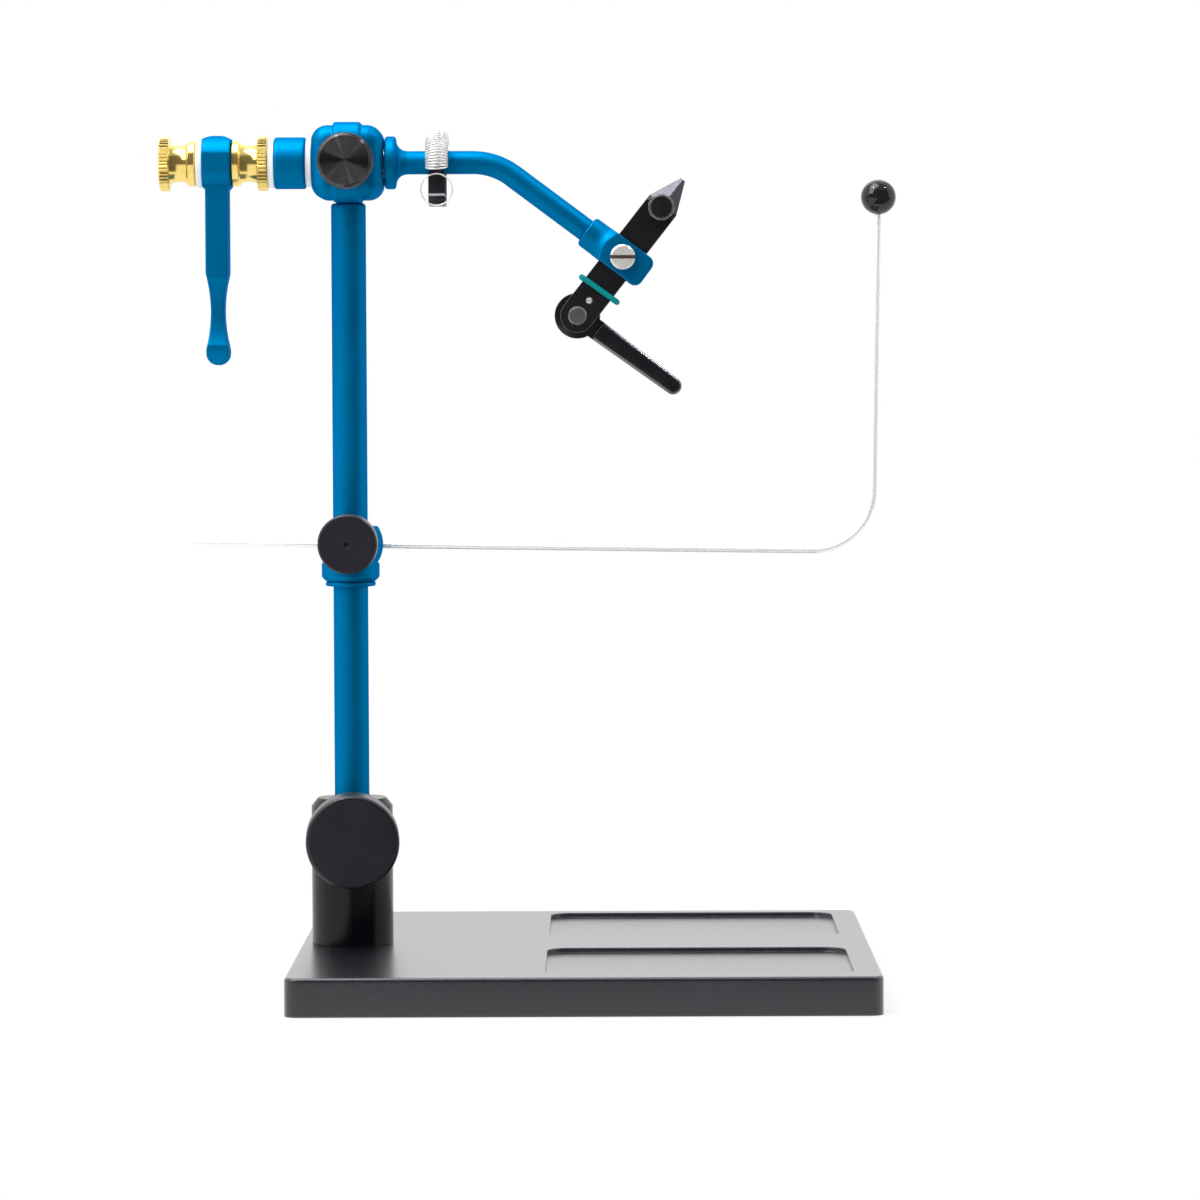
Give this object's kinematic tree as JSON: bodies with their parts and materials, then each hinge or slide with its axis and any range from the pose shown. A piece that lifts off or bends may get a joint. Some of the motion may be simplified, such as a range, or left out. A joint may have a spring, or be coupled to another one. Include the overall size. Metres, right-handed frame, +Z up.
{
  "type": "fly tying vise",
  "caption": "Rotary fly tying vise: a square pedestal base, a blue stem and head with a hand crank, a bent arm with cam-lever jaws, and a bobbin cradle on a sliding collar.",
  "frame": {"origin": "centre of the base plate's underside", "axes": "+Z up along the stem, +X along the spindle toward the jaws, +Y to the rear, away from the knobs"},
  "size_m": [0.1969, 0.1524, 0.2299],
  "materials": {
    "base_black": "satin black finish on the plate and the post",
    "knob_black": "smooth matte black plastic",
    "knurl_black": "black knurled metal with a turned face",
    "blue_anodised": "bead-blasted aluminium, anodised blue, satin",
    "steel": "plain turned steel",
    "bronze": "sintered bronze",
    "white_nylon": "white nylon",
    "brass": "turned brass, bright",
    "jaw_black": "black oxide on tool steel, ground bare at the tips",
    "teal_rubber": "teal rubber",
    "strap_black": "black flexible plastic"
  },
  "bodies": {
    "base": {"base_plate": "base_black", "base_post": "base_black", "post_screw": "steel"},
    "base_clamp": {"base_knob_screw": "steel"},
    "base_knob": {"base_knob": "knob_black"},
    "stem": {"stem": "blue_anodised", "head_block": "blue_anodised", "left_bushing": "bronze", "right_bushing": "bronze", "drag_plug": "white_nylon"},
    "drag_clamp": {"head_knob_screw": "steel"},
    "head_knob": {"head_knob": "knurl_black"},
    "spindle": {"spindle_shaft": "steel", "head_washer": "white_nylon", "drag_collar": "blue_anodised", "collar_set_screw": "steel", "nut_washer": "white_nylon", "crank": "blue_anodised", "crank_washer": "white_nylon", "vise_arm": "blue_anodised", "jaw_clevis": "blue_anodised", "pivot_screw": "steel"},
    "inner_nut": {"inner_thumb_nut": "brass"},
    "outer_nut": {"outer_thumb_nut": "brass"},
    "clip": {"clip_spring": "steel", "clip_strap": "strap_black", "clip_loop": "steel"},
    "jaws": {"front_jaw": "jaw_black", "cam_pin": "steel", "stop_pin": "steel", "jaw_ring": "teal_rubber"},
    "rear_jaw": {"rear_jaw": "jaw_black", "cam_follower": "steel"},
    "cam_lever": {"cam_lever": "jaw_black"},
    "adjusting_screw": {"adjusting_screw": "knurl_black"},
    "cradle_ring": {"thrust_ring": "blue_anodised"},
    "cradle": {"cradle_body": "blue_anodised"},
    "cradle_clamp": {"cradle_knob_screw": "steel"},
    "cradle_knob": {"cradle_knob": "knob_black"},
    "bobbin_rod": {"bobbin_rod": "steel", "rod_ball": "knob_black"}
  },
  "joints": [
    {"name": "stem_height", "type": "slide", "parent": "base", "child": "stem", "axis": [0, 0, 1], "range_m": [0, 0.015]},
    {"name": "base_clamp_travel", "type": "slide", "parent": "base", "child": "base_clamp", "axis": [0.0558, -0.9984, 0], "range_m": [0, 0.0025]},
    {"name": "base_knob_turn", "type": "hinge", "parent": "base_clamp", "child": "base_knob", "pos_m": [-0.06138, -0.01997, 0.0397], "axis": [0.0558, -0.9984, 0], "range_deg": [0, 725]},
    {"name": "drag_clamp_travel", "type": "slide", "parent": "stem", "child": "drag_clamp", "axis": [0, -1, 0], "range_m": [0, 0.0008]},
    {"name": "head_knob_turn", "type": "hinge", "parent": "drag_clamp", "child": "head_knob", "pos_m": [-0.0625, -0.015, 0.21925], "axis": [0, -1, 0], "range_deg": [0, 365]},
    {"name": "spindle_turn", "type": "hinge", "parent": "stem", "child": "spindle", "pos_m": [-0.0625, 0, 0.21925], "axis": [1, 0, 0], "continuous": true},
    {"name": "inner_nut_turn", "type": "hinge", "parent": "spindle", "child": "inner_nut", "pos_m": [-0.0885, 0, 0.21925], "axis": [1, 0, 0], "range_deg": [-360, 360]},
    {"name": "outer_nut_turn", "type": "hinge", "parent": "spindle", "child": "outer_nut", "pos_m": [-0.1085, 0, 0.21925], "axis": [-1, 0, 0], "range_deg": [0, 720]},
    {"name": "clip_turn", "type": "hinge", "parent": "spindle", "child": "clip", "pos_m": [-0.03865, 0, 0.21925], "axis": [1, 0, 0], "range_deg": [-120, 120]},
    {"name": "jaw_tilt", "type": "hinge", "parent": "spindle", "child": "jaws", "pos_m": [0.01073, 0, 0.19379], "axis": [0, -1, 0], "range_deg": [-12, 12]},
    {"name": "cam_lever_turn", "type": "hinge", "parent": "jaws", "child": "cam_lever", "pos_m": [-0.00141, 0, 0.17828], "axis": [0, 1, 0], "range_deg": [0, 90]},
    {"name": "rear_jaw_swing", "type": "hinge", "parent": "jaws", "child": "rear_jaw", "pos_m": [0.02102, 0.00195, 0.20694], "axis": [-0.7875, 0, 0.6163], "range_deg": [0, 1]},
    {"name": "adjusting_screw_turn", "type": "hinge", "parent": "jaws", "child": "adjusting_screw", "pos_m": [0.02102, -0.006, 0.20694], "axis": [0, -1, 0], "range_deg": [-360, 360]},
    {"name": "cradle_height", "type": "slide", "parent": "stem", "child": "cradle_ring", "axis": [0, 0, 1], "range_m": [-0.05, 0.012]},
    {"name": "cradle_swivel", "type": "hinge", "parent": "cradle_ring", "child": "cradle", "pos_m": [-0.0625, 0, 0.1174], "axis": [0, 0, 1], "continuous": true},
    {"name": "cradle_clamp_travel", "type": "slide", "parent": "cradle", "child": "cradle_clamp", "axis": [0, -1, 0], "range_m": [0, 0.0014]},
    {"name": "cradle_knob_turn", "type": "hinge", "parent": "cradle_clamp", "child": "cradle_knob", "pos_m": [-0.0625, -0.013, 0.1179], "axis": [0, -1, 0], "range_deg": [0, 725]},
    {"name": "bobbin_rod_slide", "type": "slide", "parent": "cradle", "child": "bobbin_rod", "axis": [0.9999, 0, -0.0157], "range_m": [-0.012, 0.03]}
  ],
  "couplings": [
    {"joint": "base_knob_turn", "follows": "base_clamp_travel", "rad_per_m": 5026.5},
    {"joint": "head_knob_turn", "follows": "drag_clamp_travel", "rad_per_m": 7854},
    {"joint": "cradle_knob_turn", "follows": "cradle_clamp_travel", "rad_per_m": 8976},
    {"joint": "rear_jaw_swing", "follows": "cam_lever_turn", "ratio": 0.011111}
  ]
}
